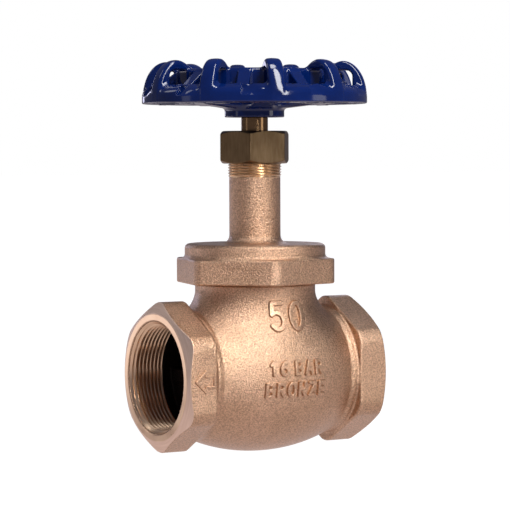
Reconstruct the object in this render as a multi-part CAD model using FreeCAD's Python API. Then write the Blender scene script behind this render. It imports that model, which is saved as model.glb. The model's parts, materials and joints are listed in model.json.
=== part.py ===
"""Two-inch bronze globe valve with a screw-over bonnet and a rising stem.

Millimetres. The origin is the centre of the inlet port's face, +X runs along
the pipe in the direction of flow, and +Z points up along the stem.
The valve is drawn closed. One STEP file is written for each piece.
"""
import FreeCAD
import Part
import math
import os

V = FreeCAD.Vector

# ---- the run and its two ports -------------------------------------------------
RUN_LENGTH = 126.0
STEM_X = RUN_LENGTH / 2
PORT_HEX_ACROSS_FLATS = 73.4
PORT_CORNER_R = 41.7            # cast corners of the hexagon, rounded to this radius
PORT_HEX_LENGTH = 17.9
PORT_FACE_R = 34.6              # flat machined ring at each end
PORT_CHAMFER_DEG = 25.0
PORT_THREAD_R = 28.328          # minor radius of a G2 pipe thread
PORT_THREAD_LENGTH = 20.0
COLLAR_R = 35.4                 # short round collar behind each hexagon
COLLAR_START = 41.0             # its distance from the stem axis

# ---- the globe and its neck ----------------------------------------------------
GLOBE_HALF_LENGTH = 69.0
GLOBE_R = 43.0
GLOBE_WALL = 4.6
NECK_R = 33.0
NECK_SHOULDER_Z = 49.0
NECK_THREAD_R = 32.0
NECK_TOP_Z = 58.5
NECK_BORE_R = 28.0
NECK_FILLET = 6.0

# ---- the bridge wall and the seat ----------------------------------------------
DECK_TOP_Z = 1.0
DECK_BOTTOM_Z = -5.0
BRIDGE_WALL = 5.8
SEAT_OUTER_R = 26.0
SEAT_BORE_R = 22.5
SEAT_TOP_Z = 4.0

# ---- the bonnet ----------------------------------------------------------------
BONNET_HEX_ACROSS_FLATS = 78.8
BONNET_HEX_BOTTOM_Z = 49.4
BONNET_HEX_TOP_Z = 63.1
BONNET_HEX_TURN_DEG = 13.7
BONNET_COLLAR_R = 38.6
BONNET_COLLAR_TOP_Z = 71.0
BONNET_CEILING_Z = 60.0
BONNET_NECK_R = 14.05
BONNET_NECK_THREAD_R = 14.65
BONNET_NECK_THREAD_Z = 107.0
BONNET_NECK_TOP_Z = 122.0
BONNET_BOSS_R = 13.0
BONNET_BOSS_BOTTOM_Z = 50.5
STUFFING_BOX_R = 11.0
STUFFING_BOX_BOTTOM_Z = 95.5
BACK_SEAT_BOTTOM_Z = 93.0

# ---- the stem ------------------------------------------------------------------
STEM_R = 7.35
STEM_HEAD_R = 10.5
STEM_HEAD_BOTTOM_Z = 16.5
STEM_HEAD_TOP_Z = 21.4
STEM_WAIST_R = 6.5
STEM_THREAD_R = 9.0
STEM_THREAD_ROOT_R = 6.9
STEM_THREAD_BOTTOM_Z = 35.0
STEM_THREAD_TURNS = 10
STEM_THREAD_PITCH = 4.0
STEM_SQUARE = 11.0
STEM_STUD_R = 5.0
STEM_TOP_Z = 166.6

# ---- the disc ------------------------------------------------------------------
DISC_R = 27.6
INSERT_GAP = 0.15               # between the soft insert and the seat when closed
INSERT_THICKNESS = 4.0
INSERT_R = 26.5
DISC_PLATE = 5.0
DISC_HUB_R = 15.0
DISC_HUB_TOP_Z = 28.0
DISC_POCKET_R = 12.05
DISC_STUD_R = 5.0

# ---- packing and its nut -------------------------------------------------------
PACKING_RINGS = 5
PACKING_RING_HEIGHT = 3.6
PACKING_WASHER = 1.5
GLAND_FLANGE_R = 13.5
GLAND_TOP_Z = 126.0
PACKING_NUT_ACROSS_FLATS = 35.4
PACKING_NUT_BOTTOM_Z = 114.7
PACKING_NUT_TOP_Z = 132.6
PACKING_NUT_TURN_DEG = 51.8

# ---- the handwheel -------------------------------------------------------------
WHEEL_BOTTOM_Z = 147.4
FIN_COUNT = 10
FIN_THICKNESS = 8.8
FIN_TURN_DEG = -2.0
FIN_CREST_R = 48.7              # where a fin is highest
FIN_CREST_Z = 170.6
FIN_WIDEST_Z = 151.5            # where a fin reaches furthest out
FIN_OUTWARD = 12.95             # half widths of its two quarter ellipses
FIN_INWARD = 13.2
HOLLOW_R = 54.0                 # outer side of the opening through a fin
HOLLOW_TOP_Z = 165.3
HOLLOW_CORNER = 3.5
BAND_R = 61.6
BAND_INNER_R = 55.8
BAND_OUTER_TOP_Z = 154.0
BAND_INNER_TOP_Z = 157.4
INNER_WALL_R = 38.2
INNER_WALL_OUTER_R = 43.6
INNER_WALL_TOP_Z = 165.9
MID_RIB_THICKNESS = 7.0
MID_RIB_FOOT_R = 53.5           # where its sloping edge meets the band
MID_RIB_TOP_Z = 164.4
SPOKE_COUNT = 5
SPOKE_WIDTH = 12.0
SPOKE_BOTTOM_Z = 147.4
SPOKE_THICKNESS = 5.0
HUB_R = 16.25
HUB_BOTTOM_Z = 140.0
HUB_TOP_Z = 154.0
HUB_WEB_BOTTOM_Z = 144.6
NAME_PLATE_R = 17.0
NAME_PLATE = 1.0
SPRING_WASHER = 1.8
WHEEL_NUT_ACROSS_FLATS = 17.0
WHEEL_NUT_HEIGHT = 8.0

# ---- clearances ----------------------------------------------------------------
FIT = 0.03                      # radial gap of pieces that belong together
RUNNING = 0.08                  # radial gap of a part that turns or slides
PAST = 5.0                      # how far a cutting shape runs past what it cuts


def turned(points, x=0.0):
    """Solid of revolution about a vertical axis at x, from (radius, z) points."""
    wire = Part.makePolygon([V(r, 0, z) for r, z in points + points[:1]])
    solid = Part.Face(wire).revolve(V(0, 0, 0), V(0, 0, 1), 360)
    solid.translate(V(x, 0, 0))
    return solid


def turned_about_run(points):
    """Solid of revolution about the pipe axis, from (x, radius) points."""
    wire = Part.makePolygon([V(x, 0, r) for x, r in points + points[:1]])
    return Part.Face(wire).revolve(V(0, 0, 0), V(1, 0, 0), 360)


def disc(radius, low, high):
    """Upright cylinder on the stem axis."""
    return Part.makeCylinder(radius, high - low, V(STEM_X, 0, low))


def ring(inner, outer, low, high):
    """Upright ring on the stem axis."""
    return disc(outer, low, high).cut(disc(inner, low - PAST, high + PAST))


def hexagon(across_flats, low, high, turn_deg=0.0):
    """Upright hexagonal prism on the stem axis, one corner at turn_deg."""
    corner = across_flats / math.sqrt(3)
    angles = [math.radians(turn_deg + 60 * i) for i in range(7)]
    points = [V(STEM_X + corner * math.cos(a), corner * math.sin(a), low) for a in angles]
    return Part.Face(Part.makePolygon(points)).extrude(V(0, 0, high - low))


def chamfered_hexagon(across_flats, low, high, turn_deg=0.0, drop=1.8):
    """Hexagonal nut blank whose corners are turned off at both ends."""
    corner = across_flats / math.sqrt(3)
    face = across_flats / 2 - 0.3
    cone = turned([(0, low), (face, low), (corner, low + drop),
                   (corner, high - drop), (face, high), (0, high)], STEM_X)
    return hexagon(across_flats, low, high, turn_deg).common(cone)


def mirrored(solid):
    """The same solid on the other side of the stem axis."""
    return solid.mirror(V(STEM_X, 0, 0), V(1, 0, 0))


def ellipsoid(half_length, radius):
    """The globe's shape: an ellipse turned about the pipe axis."""
    ellipse = Part.Ellipse(V(0, 0, 0), half_length, radius)
    upper = Part.Arc(ellipse, 0, math.pi).toShape()
    upper.rotate(V(0, 0, 0), V(1, 0, 0), 90)
    axis = Part.makeLine(V(-half_length, 0, 0), V(half_length, 0, 0))
    solid = Part.Face(Part.Wire([upper, axis])).revolve(V(0, 0, 0), V(1, 0, 0), 360)
    solid.translate(V(STEM_X, 0, 0))
    return solid


def slab(low_x, high_x):
    """Everything between two planes across the run."""
    half = 2 * GLOBE_R
    return Part.makeBox(high_x - low_x, 2 * half, 2 * half, V(low_x, -half, -half))


def port_end():
    """Hexagonal end of the inlet, its end corners turned off."""
    corner = PORT_HEX_ACROSS_FLATS / math.sqrt(3)
    points = []
    for i in range(7):
        a = math.radians(60 * i)
        points.append(V(0, corner * math.sin(a), corner * math.cos(a)))
    prism = Part.Face(Part.makePolygon(points)).extrude(V(PORT_HEX_LENGTH, 0, 0))
    drop = (PORT_CORNER_R - PORT_FACE_R) * math.tan(math.radians(PORT_CHAMFER_DEG))
    cone = turned_about_run([(0, 0), (0, PORT_FACE_R), (drop, PORT_CORNER_R),
                             (PORT_HEX_LENGTH, PORT_CORNER_R), (PORT_HEX_LENGTH, 0)])
    return prism.common(cone)


def bridge():
    """Z-shaped wall that carries the seat between inlet and outlet."""
    half = GLOBE_R
    left_low = STEM_X - DISC_R - BRIDGE_WALL - 1.0
    right_high = RUN_LENGTH - left_low
    outline = [
        (left_low - 1.5, half), (left_low - 1.5 + BRIDGE_WALL, half),
        (left_low + BRIDGE_WALL, DECK_TOP_Z), (right_high, DECK_TOP_Z),
        (right_high + 1.5, -half), (right_high + 1.5 - BRIDGE_WALL, -half),
        (right_high - BRIDGE_WALL, DECK_BOTTOM_Z), (left_low, DECK_BOTTOM_Z),
    ]
    wire = Part.makePolygon([V(x, -half, z) for x, z in outline + outline[:1]])
    return Part.Face(wire).extrude(V(0, 2 * half, 0))


def body_outside():
    """The casting's outer skin, with nothing hollowed out."""
    globe = ellipsoid(GLOBE_HALF_LENGTH, GLOBE_R)
    start = PORT_HEX_LENGTH - 1.0
    globe = globe.common(slab(start, RUN_LENGTH - start))
    neck = disc(NECK_R, 0, NECK_SHOULDER_Z)
    outside = globe.fuse(neck)
    seam = [e for e in outside.Edges
            if 20 < e.CenterOfMass.z < 45 and e.BoundBox.XLength > NECK_R]
    outside = outside.makeFillet(NECK_FILLET, seam)
    collar_length = STEM_X - COLLAR_START - start
    collar = Part.makeCylinder(COLLAR_R, collar_length, V(start, 0, 0), V(1, 0, 0))
    inlet = port_end()
    return outside.multiFuse([
        disc(NECK_THREAD_R, NECK_SHOULDER_Z - 1.0, NECK_TOP_Z),
        collar, mirrored(collar), inlet, mirrored(inlet),
    ])


def make_body_pieces():
    """The one casting, cut at plain planes into two ends, two half globes, a neck and its bridge."""
    chamber = ellipsoid(GLOBE_HALF_LENGTH - GLOBE_WALL, GLOBE_R - GLOBE_WALL)
    chamber = chamber.common(slab(PORT_THREAD_LENGTH, RUN_LENGTH - PORT_THREAD_LENGTH))
    neck_bore = disc(NECK_BORE_R, DECK_TOP_Z, NECK_TOP_Z + PAST)
    port = Part.makeCylinder(PORT_THREAD_R, PORT_THREAD_LENGTH + PAST, V(-PAST, 0, 0), V(1, 0, 0))
    shell = body_outside()
    for cutter in (chamber, neck_bore, port, mirrored(port)):
        shell = shell.cut(cutter)
    bridge_wall = bridge().common(chamber).cut(neck_bore)
    bridge_wall = bridge_wall.cut(disc(SEAT_OUTER_R + FIT, -2 * PAST, PAST))
    outlet_start = RUN_LENGTH - PORT_THREAD_LENGTH
    middle = shell.common(slab(PORT_THREAD_LENGTH, outlet_start))
    size = 2 * RUN_LENGTH
    below = Part.makeBox(size, size, size, V(-RUN_LENGTH / 2, -RUN_LENGTH, -size))
    above = Part.makeBox(size, size, size, V(-RUN_LENGTH / 2, -RUN_LENGTH, NECK_SHOULDER_Z))
    return {
        "body_inlet_end": shell.common(slab(-PAST, PORT_THREAD_LENGTH)).removeSplitter(),
        "body_outlet_end": shell.common(slab(outlet_start, RUN_LENGTH + PAST)).removeSplitter(),
        "body_globe_lower": middle.common(below).removeSplitter(),
        "body_globe_upper": middle.cut(below).cut(above).removeSplitter(),
        "body_neck_thread": middle.common(above).removeSplitter(),
        "body_bridge": bridge_wall.removeSplitter(),
    }


def make_seat_ring():
    land = 1.6
    return turned([
        (SEAT_BORE_R, DECK_BOTTOM_Z), (SEAT_OUTER_R, DECK_BOTTOM_Z),
        (SEAT_OUTER_R, SEAT_TOP_Z - 1.2), (SEAT_BORE_R + land + 0.8, SEAT_TOP_Z),
        (SEAT_BORE_R + 0.8, SEAT_TOP_Z), (SEAT_BORE_R, SEAT_TOP_Z - 0.8),
    ], STEM_X)


def make_bonnet():
    corner = BONNET_HEX_ACROSS_FLATS / math.sqrt(3)
    skirt = hexagon(BONNET_HEX_ACROSS_FLATS, BONNET_HEX_BOTTOM_Z, BONNET_HEX_TOP_Z, BONNET_HEX_TURN_DEG)
    skirt = skirt.common(turned([
        (0, BONNET_HEX_BOTTOM_Z), (corner - 1.5, BONNET_HEX_BOTTOM_Z),
        (corner, BONNET_HEX_BOTTOM_Z + 0.8), (corner, BONNET_HEX_TOP_Z - 0.8),
        (corner - 1.5, BONNET_HEX_TOP_Z), (0, BONNET_HEX_TOP_Z),
    ], STEM_X))
    upper = turned([
        (0, BONNET_HEX_TOP_Z - 1.0), (BONNET_COLLAR_R, BONNET_HEX_TOP_Z - 1.0),
        (BONNET_COLLAR_R, BONNET_COLLAR_TOP_Z - 2.0), (BONNET_COLLAR_R - 2.0, BONNET_COLLAR_TOP_Z),
        (BONNET_NECK_R + 4.0, BONNET_COLLAR_TOP_Z), (BONNET_NECK_R + 1.2, BONNET_COLLAR_TOP_Z + 1.2),
        (BONNET_NECK_R, BONNET_COLLAR_TOP_Z + 4.0), (BONNET_NECK_R, BONNET_NECK_THREAD_Z),
        (BONNET_NECK_THREAD_R, BONNET_NECK_THREAD_Z), (BONNET_NECK_THREAD_R, BONNET_NECK_TOP_Z),
        (0, BONNET_NECK_TOP_Z),
    ], STEM_X)
    relief_r = NECK_BORE_R - 1.0
    relief_top = BONNET_CEILING_Z + 3.5
    thread_r = STEM_THREAD_R + RUNNING
    cavity = [
        disc(NECK_THREAD_R + FIT, BONNET_HEX_BOTTOM_Z - PAST, BONNET_CEILING_Z),
        ring(BONNET_BOSS_R, relief_r, BONNET_CEILING_Z - 1.0, relief_top),
        disc(thread_r, BONNET_BOSS_BOTTOM_Z - PAST, BACK_SEAT_BOTTOM_Z),
        disc(STEM_R + RUNNING, BACK_SEAT_BOTTOM_Z - 1.0, STUFFING_BOX_BOTTOM_Z + 1.0),
        disc(STUFFING_BOX_R, STUFFING_BOX_BOTTOM_Z, BONNET_NECK_TOP_Z + PAST),
    ]
    solid = skirt.fuse(upper)
    for cutter in cavity:
        solid = solid.cut(cutter)
    boss = ring(thread_r, BONNET_BOSS_R, BONNET_BOSS_BOTTOM_Z, relief_top + 0.5)
    return solid.fuse(boss).removeSplitter()


def make_bonnet_gasket():
    return ring(NECK_BORE_R + 0.5, NECK_THREAD_R - 0.3, NECK_TOP_Z, BONNET_CEILING_Z)


def make_stem():
    """Stem with its swivel head, ridged thread, plain shank, square and stud."""
    thread_top = STEM_THREAD_BOTTOM_Z + STEM_THREAD_TURNS * STEM_THREAD_PITCH
    quarter = STEM_THREAD_PITCH / 4
    points = [
        (0, STEM_HEAD_BOTTOM_Z), (STEM_HEAD_R - 2.0, STEM_HEAD_BOTTOM_Z),
        (STEM_HEAD_R, STEM_HEAD_BOTTOM_Z + 1.0), (STEM_HEAD_R, STEM_HEAD_TOP_Z),
        (STEM_WAIST_R, STEM_HEAD_TOP_Z), (STEM_WAIST_R, STEM_THREAD_BOTTOM_Z),
    ]
    for turn in range(STEM_THREAD_TURNS):
        z = STEM_THREAD_BOTTOM_Z + turn * STEM_THREAD_PITCH
        points += [(STEM_THREAD_ROOT_R, z), (STEM_THREAD_ROOT_R, z + quarter),
                   (STEM_THREAD_R, z + 1.8 * quarter), (STEM_THREAD_R, z + 3.2 * quarter)]
    points += [(STEM_THREAD_ROOT_R, thread_top), (STEM_R, thread_top + 0.6),
               (STEM_R, HUB_BOTTOM_Z), (0, HUB_BOTTOM_Z)]
    half = STEM_SQUARE / 2
    square = Part.makeBox(STEM_SQUARE, STEM_SQUARE, HUB_TOP_Z - HUB_BOTTOM_Z,
                          V(STEM_X - half, -half, HUB_BOTTOM_Z - 0.5))
    square = square.common(disc(STEM_R, HUB_BOTTOM_Z - PAST, HUB_TOP_Z + PAST))
    stud = disc(STEM_STUD_R - FIT, HUB_TOP_Z - 2.0, STEM_TOP_Z)
    return turned(points, STEM_X).multiFuse([square, stud]).removeSplitter()


def make_disc_holder():
    insert_top = SEAT_TOP_Z + INSERT_GAP + INSERT_THICKNESS
    plate_top = insert_top + DISC_PLATE
    pocket_floor = STEM_HEAD_BOTTOM_Z - 0.1
    stud_bottom = -6.5
    return turned([
        (0, stud_bottom), (DISC_STUD_R - 0.5, stud_bottom), (DISC_STUD_R, stud_bottom + 0.5),
        (DISC_STUD_R, insert_top), (INSERT_R + 0.05, insert_top),
        (INSERT_R + 0.05, insert_top - INSERT_THICKNESS + 0.6),
        (DISC_R, insert_top - INSERT_THICKNESS + 0.6), (DISC_R, plate_top - 1.0),
        (DISC_R - 1.0, plate_top), (DISC_HUB_R, plate_top), (DISC_HUB_R, DISC_HUB_TOP_Z),
        (DISC_POCKET_R, DISC_HUB_TOP_Z), (DISC_POCKET_R, pocket_floor), (0, pocket_floor),
    ], STEM_X)


def make_seat_insert():
    low = SEAT_TOP_Z + INSERT_GAP
    return ring(DISC_STUD_R + FIT, INSERT_R, low, low + INSERT_THICKNESS)


def make_insert_retainer():
    top = SEAT_TOP_Z + INSERT_GAP
    return ring(DISC_STUD_R + FIT, 19.5, top - 3.0, top)


def make_insert_nut():
    top = SEAT_TOP_Z + INSERT_GAP - 3.0
    return chamfered_hexagon(17.0, top - 6.0, top).cut(disc(DISC_STUD_R + FIT, top - 2 * PAST, top + PAST))


def make_disc_retaining_nut():
    """Plug screwed into the disc's hub, which holds the stem's head."""
    hex_top = DISC_HUB_TOP_Z + 5.0
    shank = disc(DISC_POCKET_R - FIT, STEM_HEAD_TOP_Z + 0.1, DISC_HUB_TOP_Z + 1.0)
    blank = chamfered_hexagon(26.0, DISC_HUB_TOP_Z, hex_top, drop=1.0).fuse(shank)
    return blank.cut(disc(STEM_WAIST_R + RUNNING, 0, hex_top + PAST)).removeSplitter()


def make_packing_base_washer():
    return ring(STEM_R + RUNNING, STUFFING_BOX_R - FIT, STUFFING_BOX_BOTTOM_Z,
                STUFFING_BOX_BOTTOM_Z + PACKING_WASHER)


def make_packing_ring(number):
    low = STUFFING_BOX_BOTTOM_Z + PACKING_WASHER + (number - 1) * PACKING_RING_HEIGHT
    return ring(STEM_R + 0.05, STUFFING_BOX_R - FIT, low, low + PACKING_RING_HEIGHT)


def make_gland_follower():
    sleeve_bottom = STUFFING_BOX_BOTTOM_Z + PACKING_WASHER + PACKING_RINGS * PACKING_RING_HEIGHT
    flange_bottom = BONNET_NECK_TOP_Z + 1.0
    return turned([
        (STEM_R + RUNNING, sleeve_bottom), (STUFFING_BOX_R - 0.1, sleeve_bottom),
        (STUFFING_BOX_R - 0.1, flange_bottom), (GLAND_FLANGE_R, flange_bottom),
        (GLAND_FLANGE_R, GLAND_TOP_Z), (STEM_R + RUNNING, GLAND_TOP_Z),
    ], STEM_X)


def make_packing_nut():
    blank = chamfered_hexagon(PACKING_NUT_ACROSS_FLATS, PACKING_NUT_BOTTOM_Z, PACKING_NUT_TOP_Z,
                              PACKING_NUT_TURN_DEG)
    thread = disc(BONNET_NECK_THREAD_R + FIT, PACKING_NUT_BOTTOM_Z - PAST, GLAND_TOP_Z)
    hole = disc(STEM_R + RUNNING, GLAND_TOP_Z - 1.0, PACKING_NUT_TOP_Z + PAST)
    return blank.cut(thread).cut(hole)


def around_stem(solid, degrees):
    """A copy turned about the stem axis."""
    copy = solid.copy()
    copy.rotate(V(STEM_X, 0, 0), V(0, 0, 1), degrees)
    return copy


def upright_plate(points, thickness):
    """Plate in the +X radial plane, from (radius, z) points, centred on it."""
    wire = Part.makePolygon([V(STEM_X + r, -thickness / 2, z) for r, z in points + points[:1]])
    return Part.Face(wire).extrude(V(0, thickness, 0))


def quarter_ellipse(half_width, start_deg):
    """Quarter of a fin's upright outline, in the +X radial plane."""
    ellipse = Part.Ellipse(V(0, 0, 0), FIN_CREST_Z - FIN_WIDEST_Z, half_width)
    start = math.radians(start_deg)
    edge = Part.Arc(ellipse, start, start + math.pi / 2).toShape()
    edge.rotate(V(0, 0, 0), V(0, 0, 1), 90)
    edge.rotate(V(0, 0, 0), V(1, 0, 0), 90)
    edge.translate(V(STEM_X + FIN_CREST_R, 0, FIN_WIDEST_Z))
    return edge


def make_fin():
    """Fin whose outline is two quarter ellipses, open in the middle."""
    inner, outer = quarter_ellipse(FIN_INWARD, 0), quarter_ellipse(FIN_OUTWARD, -90)
    low_inner = V(STEM_X + FIN_CREST_R - FIN_INWARD, 0, FIN_WIDEST_Z)
    low_outer = V(STEM_X + FIN_CREST_R + FIN_OUTWARD, 0, FIN_WIDEST_Z)
    foot_inner = V(low_inner.x, 0, WHEEL_BOTTOM_Z)
    foot_outer = V(low_outer.x, 0, WHEEL_BOTTOM_Z)
    wire = Part.Wire(Part.__sortEdges__([
        inner, outer, Part.makeLine(low_outer, foot_outer),
        Part.makeLine(foot_outer, foot_inner), Part.makeLine(foot_inner, low_inner)]))
    plate = Part.Face(wire).extrude(V(0, FIN_THICKNESS, 0))
    plate.translate(V(0, -FIN_THICKNESS / 2, 0))
    hollow = upright_plate([
        (INNER_WALL_OUTER_R - 1.0, WHEEL_BOTTOM_Z - PAST), (HOLLOW_R, WHEEL_BOTTOM_Z - PAST),
        (HOLLOW_R, HOLLOW_TOP_Z - HOLLOW_CORNER), (HOLLOW_R - HOLLOW_CORNER, HOLLOW_TOP_Z),
        (INNER_WALL_OUTER_R - 1.0, HOLLOW_TOP_Z),
    ], 2 * FIN_THICKNESS)
    inside_wall = disc(INNER_WALL_R + 1.0, WHEEL_BOTTOM_Z - PAST, FIN_CREST_Z + PAST)
    return plate.cut(hollow).cut(inside_wall)


def make_handwheel():
    band = turned([
        (BAND_INNER_R, WHEEL_BOTTOM_Z), (BAND_R, WHEEL_BOTTOM_Z), (BAND_R, BAND_OUTER_TOP_Z - 1.0),
        (BAND_R - 1.0, BAND_OUTER_TOP_Z), (BAND_INNER_R, BAND_INNER_TOP_Z),
    ], STEM_X)
    inner_wall = ring(INNER_WALL_R, INNER_WALL_OUTER_R, WHEEL_BOTTOM_Z, INNER_WALL_TOP_Z)
    hub = disc(HUB_R, HUB_BOTTOM_Z, HUB_TOP_Z)
    rib = upright_plate([
        (INNER_WALL_OUTER_R - 1.0, WHEEL_BOTTOM_Z), (BAND_INNER_R + 1.0, WHEEL_BOTTOM_Z),
        (BAND_INNER_R + 1.0, BAND_INNER_TOP_Z - 1.5), (MID_RIB_FOOT_R, BAND_INNER_TOP_Z - 0.5),
        (INNER_WALL_OUTER_R, MID_RIB_TOP_Z), (INNER_WALL_OUTER_R - 1.0, MID_RIB_TOP_Z),
    ], MID_RIB_THICKNESS)
    spoke = upright_plate([
        (HUB_R - 2.0, HUB_WEB_BOTTOM_Z), (INNER_WALL_R + 1.0, SPOKE_BOTTOM_Z),
        (INNER_WALL_R + 1.0, SPOKE_BOTTOM_Z + SPOKE_THICKNESS),
        (HUB_R - 2.0, HUB_WEB_BOTTOM_Z + SPOKE_THICKNESS + 1.0),
    ], SPOKE_WIDTH)
    fin = make_fin()
    step = 360 / FIN_COUNT
    pieces = [inner_wall, hub]
    for i in range(FIN_COUNT):
        pieces.append(around_stem(fin, FIN_TURN_DEG + step * i))
        pieces.append(around_stem(rib, FIN_TURN_DEG + step * (i + 0.5)))
    for i in range(SPOKE_COUNT):
        pieces.append(around_stem(spoke, FIN_TURN_DEG + 360 / SPOKE_COUNT * i))
    half = STEM_SQUARE / 2 + FIT
    square = Part.makeBox(2 * half, 2 * half, 4 * PAST, V(STEM_X - half, -half, HUB_BOTTOM_Z - 1.0))
    return band.multiFuse(pieces).cut(square).removeSplitter()


def make_name_plate():
    return ring(STEM_STUD_R + 0.3, NAME_PLATE_R, HUB_TOP_Z, HUB_TOP_Z + NAME_PLATE)


def make_spring_washer():
    low = HUB_TOP_Z + NAME_PLATE
    washer = ring(STEM_STUD_R + 0.1, 8.0, low, low + SPRING_WASHER)
    slit = Part.makeBox(2 * PAST, 1.2, SPRING_WASHER, V(STEM_X, -0.6, low))
    return washer.cut(slit)


def make_handwheel_nut():
    low = HUB_TOP_Z + NAME_PLATE + SPRING_WASHER
    blank = chamfered_hexagon(WHEEL_NUT_ACROSS_FLATS, low, low + WHEEL_NUT_HEIGHT, drop=1.0)
    return blank.cut(disc(STEM_STUD_R, low - PAST, low + 4 * PAST))


def build():
    """Every piece of the valve by name."""
    pieces = make_body_pieces()
    pieces.update({
        "seat_ring": make_seat_ring(),
        "bonnet": make_bonnet(),
        "bonnet_gasket": make_bonnet_gasket(),
        "packing_base_washer": make_packing_base_washer(),
        "gland_follower": make_gland_follower(),
        "packing_nut": make_packing_nut(),
        "stem": make_stem(),
        "disc_holder": make_disc_holder(),
        "seat_insert": make_seat_insert(),
        "insert_retainer": make_insert_retainer(),
        "insert_nut": make_insert_nut(),
        "disc_retaining_nut": make_disc_retaining_nut(),
        "handwheel": make_handwheel(),
        "name_plate": make_name_plate(),
        "spring_washer": make_spring_washer(),
        "handwheel_nut": make_handwheel_nut(),
    })
    for number in range(1, PACKING_RINGS + 1):
        pieces[f"packing_ring_{number}"] = make_packing_ring(number)
    return pieces


os.makedirs("parts", exist_ok=True)
for name, shape in build().items():
    shape.exportStep(f"parts/{name}.step")
    box = shape.BoundBox
    print(name, shape.ShapeType, shape.isValid(), len(shape.Solids), round(shape.Volume, 1),
          [round(v, 2) for v in (box.XMin, box.XMax, box.YMin, box.YMax, box.ZMin, box.ZMax)])
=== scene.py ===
"""Looks of a two-inch cast bronze globe valve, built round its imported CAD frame.

Lengths are millimetres while a piece is being shaped, and metres in Blender.
Cast pieces are distance fields turned into meshes, so that their corners and
joins are rounded as in a real casting. Threads are real helices.
"""
import json
import math

import bpy
import numpy as np
from mathutils import Matrix, Vector


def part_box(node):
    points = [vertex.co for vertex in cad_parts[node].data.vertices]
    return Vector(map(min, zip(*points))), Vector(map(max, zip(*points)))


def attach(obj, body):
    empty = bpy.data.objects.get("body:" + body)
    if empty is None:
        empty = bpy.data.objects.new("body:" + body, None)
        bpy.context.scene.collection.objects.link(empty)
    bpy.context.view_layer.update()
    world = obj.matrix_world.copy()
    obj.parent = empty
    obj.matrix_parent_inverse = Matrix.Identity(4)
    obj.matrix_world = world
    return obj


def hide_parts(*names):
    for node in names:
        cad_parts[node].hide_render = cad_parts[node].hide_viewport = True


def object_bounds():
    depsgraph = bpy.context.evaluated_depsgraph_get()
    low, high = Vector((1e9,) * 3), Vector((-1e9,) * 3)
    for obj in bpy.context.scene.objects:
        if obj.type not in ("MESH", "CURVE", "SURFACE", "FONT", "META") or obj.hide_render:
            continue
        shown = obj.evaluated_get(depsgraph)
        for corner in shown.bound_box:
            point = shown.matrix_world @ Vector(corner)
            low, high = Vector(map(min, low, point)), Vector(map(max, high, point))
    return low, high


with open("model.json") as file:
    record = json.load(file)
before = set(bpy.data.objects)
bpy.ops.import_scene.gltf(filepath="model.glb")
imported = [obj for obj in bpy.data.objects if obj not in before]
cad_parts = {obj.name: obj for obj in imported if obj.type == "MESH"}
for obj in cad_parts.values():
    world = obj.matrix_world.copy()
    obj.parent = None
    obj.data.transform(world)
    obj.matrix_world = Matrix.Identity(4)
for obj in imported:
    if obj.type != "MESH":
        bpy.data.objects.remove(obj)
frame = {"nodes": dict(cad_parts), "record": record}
cad_low, cad_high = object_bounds()

MM = 0.001


def box_mm(*nodes):
    """Lowest and highest corner of one or more CAD nodes together, in millimetres."""
    corners = np.array([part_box(node) for node in nodes]) / MM
    return corners[:, 0].min(0), corners[:, 1].max(0)


BODY_NODES = ("body_inlet_end", "body_outlet_end", "body_globe_lower", "body_globe_upper",
              "body_neck_thread", "body_bridge")
body_low, body_high = box_mm(*BODY_NODES)
bonnet_low, bonnet_high = box_mm("bonnet")
nut_low, nut_high = box_mm("packing_nut")
stem_low, stem_high = box_mm("stem")
wheel_low, wheel_high = box_mm("handwheel")
wheel_nut_low, wheel_nut_high = box_mm("handwheel_nut")
plate_low, plate_high = box_mm("name_plate")
PORT_MINOR_R = frame["record"]["mounts"][0]["dims"]["r_mm"]
PORT_DEPTH = frame["record"]["mounts"][0]["dims"]["length_mm"]

LAP = 1.0  # how far a form runs into the one that it joins

# ---- the run, its ports and the globe ----
RUN_LENGTH = body_high[0]
STEM_X = RUN_LENGTH / 2
GLOBE_R = body_high[1]
GLOBE_HALF_LENGTH = 69.0
GLOBE_WALL = 4.6
PORT_HEX_ACROSS_FLATS = 73.4
PORT_HEX_CORNER = 5.0
PORT_HEX_LENGTH = 17.9
PORT_FACE_R = 34.6
PORT_CHAMFER_SLOPE = math.tan(math.radians(25.0))
PORT_MOUTH_R = 31.0
PORT_SLEEVE_R = 30.6
PORT_SLEEVE_LAP = 0.3  # how far the threaded sleeve's outside is sunk in the casting
FACE_STEP = 0.12  # how far the turned face stands proud of the casting
COLLAR_R = 35.4
COLLAR_START = 41.0  # this and the collar's end are distances from the stem's axis
COLLAR_END = STEM_X - 5.0
NECK_R = 33.0
NECK_FILLET = 9.0
NECK_SHOULDER_Z = 49.0
NECK_THREAD_R = 32.0
NECK_BORE_R = 28.0
DECK_TOP_Z = 1.0
DECK_BOTTOM_Z = -5.0
BRIDGE_WALL = 5.8
BRIDGE_REACH = STEM_X - 28.6  # from the stem's axis to the outer side of the bridge's uprights
SEAT_HOLE_R = 26.0
SEAT_HOLE_HALF_DEPTH = 10.0
PIPE_PITCH = 2.309
PIPE_THREAD_DEPTH = 1.479

# ---- the bonnet ----
BONNET_HEX_ACROSS_FLATS = 79.0
BONNET_HEX_CORNER = 3.2
BONNET_HEX_TURN = math.radians(13.7)
BONNET_HEX_TOP_Z = 63.1
BONNET_COLLAR_R = 38.6
BONNET_COLLAR_TOP_Z = 71.0
BONNET_NECK_R = 14.05
BONNET_THREAD_R = 14.65
BONNET_THREAD_Z = 107.0
BONNET_THREAD_PITCH = 1.5
BONNET_THREAD_DEPTH = 0.75
BONNET_SHOULDER_LAP = 0.3  # how far the neck's casting runs past the thread's start
STUFFING_BOX_R = 11.0
STUFFING_BOX_BOTTOM_Z = 95.5
BONNET_CEILING_Z = 60.0

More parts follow.
